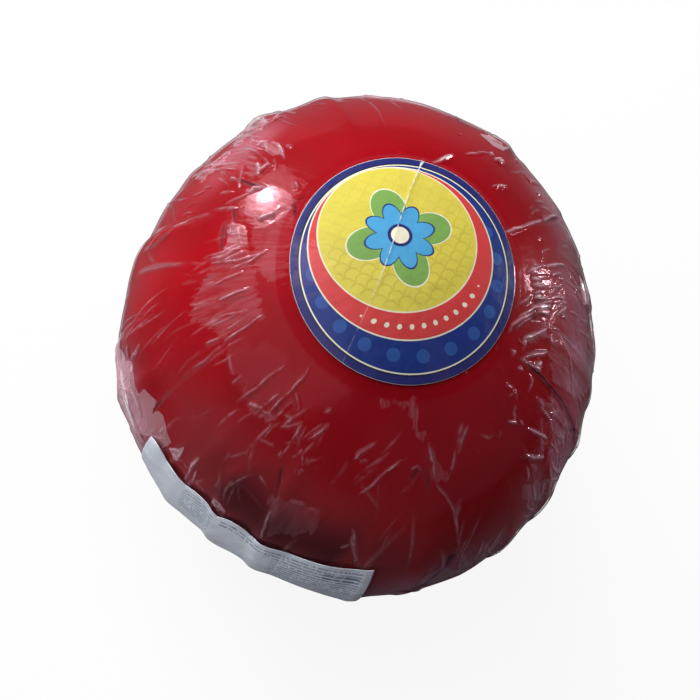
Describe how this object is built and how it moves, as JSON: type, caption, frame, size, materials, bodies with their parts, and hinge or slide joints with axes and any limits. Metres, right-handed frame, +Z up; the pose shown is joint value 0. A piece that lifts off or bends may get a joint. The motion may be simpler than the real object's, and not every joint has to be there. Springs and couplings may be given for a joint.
{
  "type": "ball of cheese",
  "caption": "Whole ball of semi-hard cheese in red wax, wrapped in tight clear film with pleats gathered underneath, with a round label on the crown and a strip label on one side.",
  "frame": {"origin": "middle of the flat spot that the ball rests on, on the table", "axes": "+Z up through the crown and the round label, -Y towards the side with the strip label, +X to the right seen from there"},
  "size_m": [0.1456, 0.1538, 0.133],
  "materials": {
    "red_wax": "smooth red cheese wax under tight clear film",
    "printed_label": "coated paper, yellow field in a navy ring with a red band and a blue foot",
    "strip_paper": "silvery white paper with rows of fine grey print",
    "clear_film": "thin clear crinkled wrapping film, glossy"
  },
  "bodies": {
    "root": {"cheese_ball": "red_wax", "round_label": "printed_label", "strip_label": "strip_paper"}
  },
  "joints": []
}
